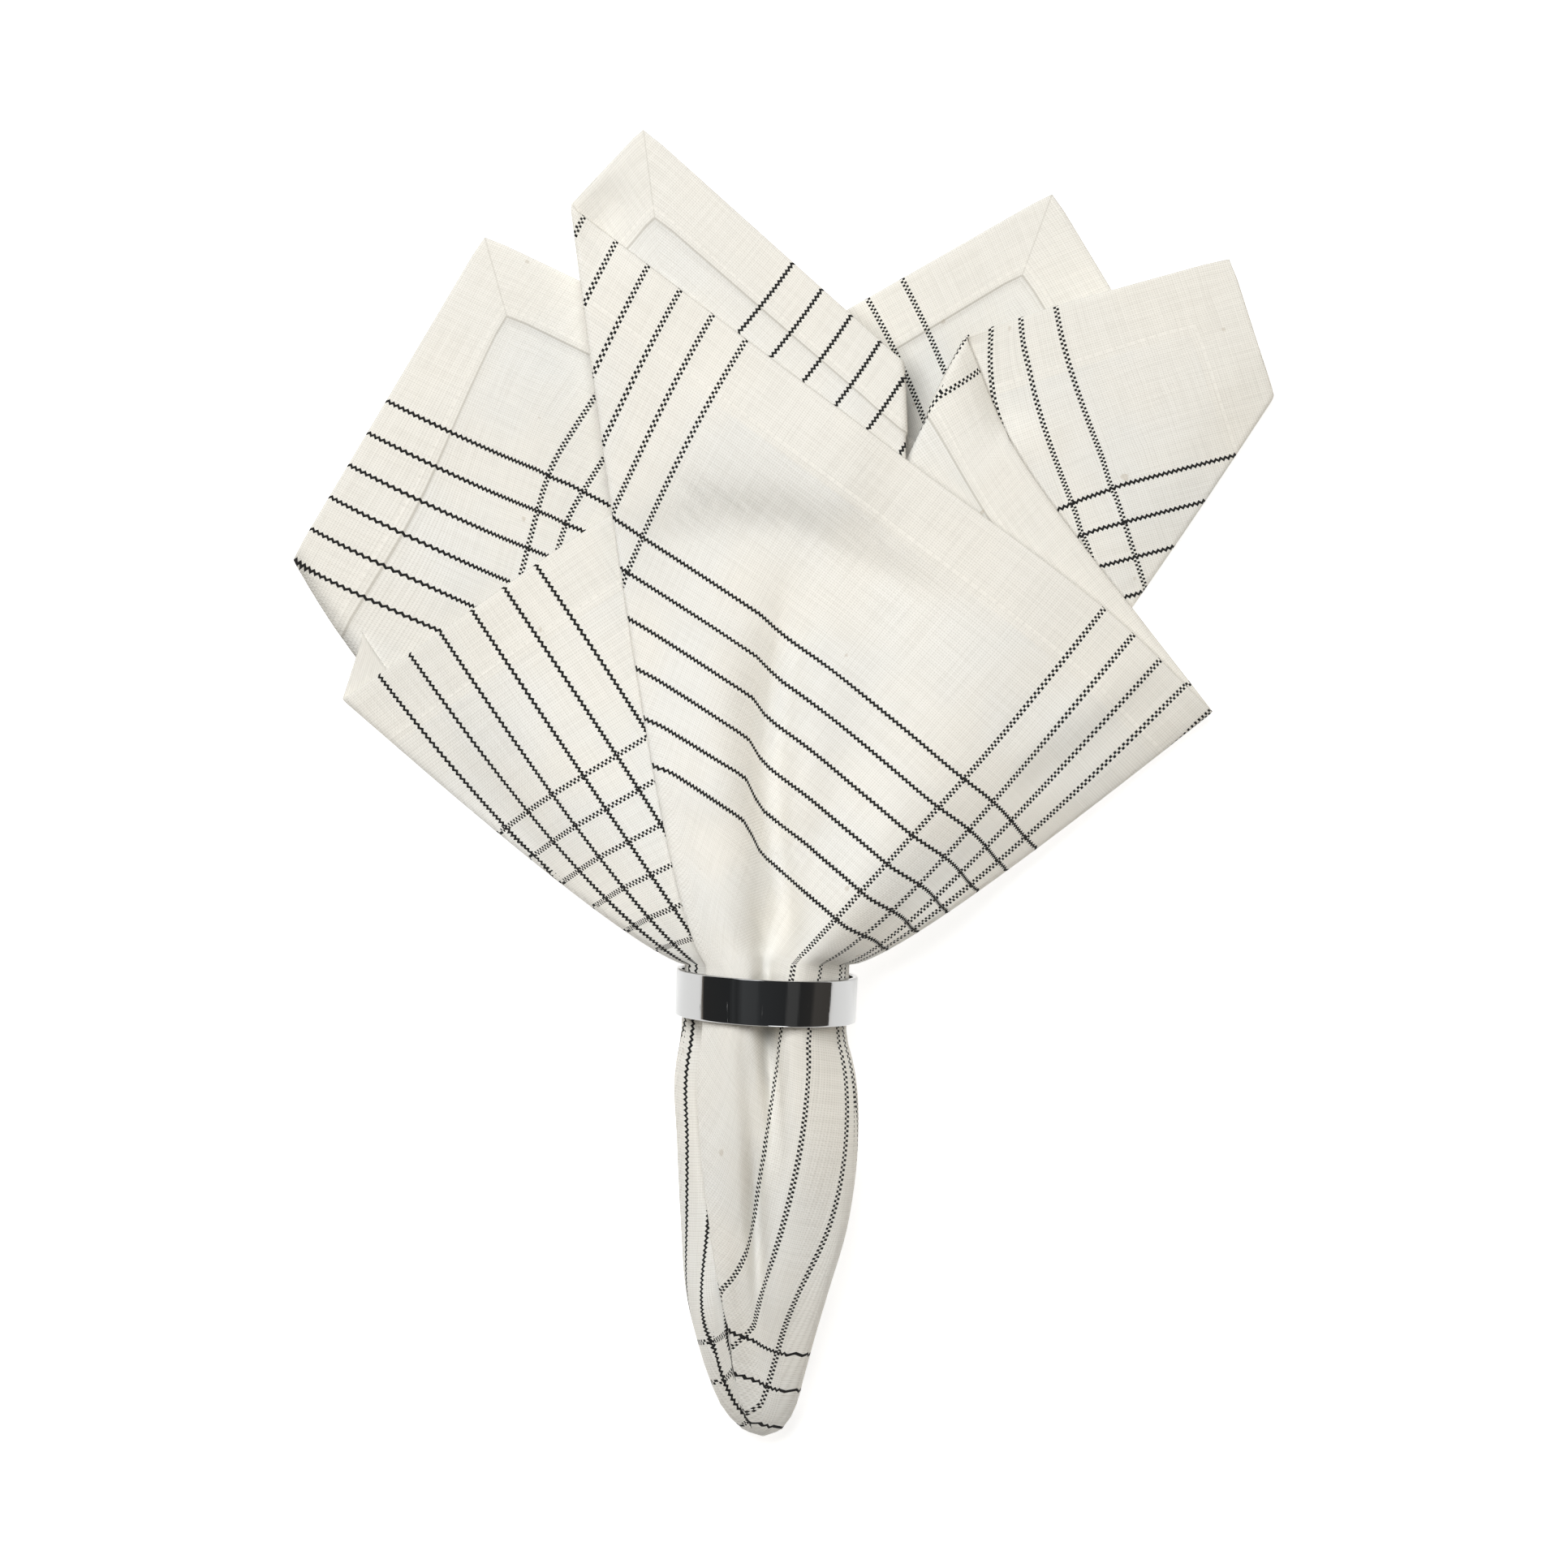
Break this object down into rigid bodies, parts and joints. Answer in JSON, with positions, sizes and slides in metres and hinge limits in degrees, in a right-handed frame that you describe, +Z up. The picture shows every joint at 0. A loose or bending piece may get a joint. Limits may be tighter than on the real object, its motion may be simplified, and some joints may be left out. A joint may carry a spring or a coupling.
{
  "type": "cloth napkin in a ring",
  "caption": "Square hemmed cotton napkin with dark line bands, pulled by its middle through a narrow polished steel ring and fanned out flat for a table setting.",
  "frame": {"origin": "middle of the whole part's box, on the table surface", "axes": "+Y from the tail to the fanned corners, +Z up from the table"},
  "size_m": [0.2326, 0.3094, 0.0438],
  "materials": {
    "cotton": "plain weave, matt, off-white with charcoal lines",
    "steel": "polished"
  },
  "bodies": {
    "root": {"napkin": "cotton", "ring": "steel"}
  },
  "joints": []
}
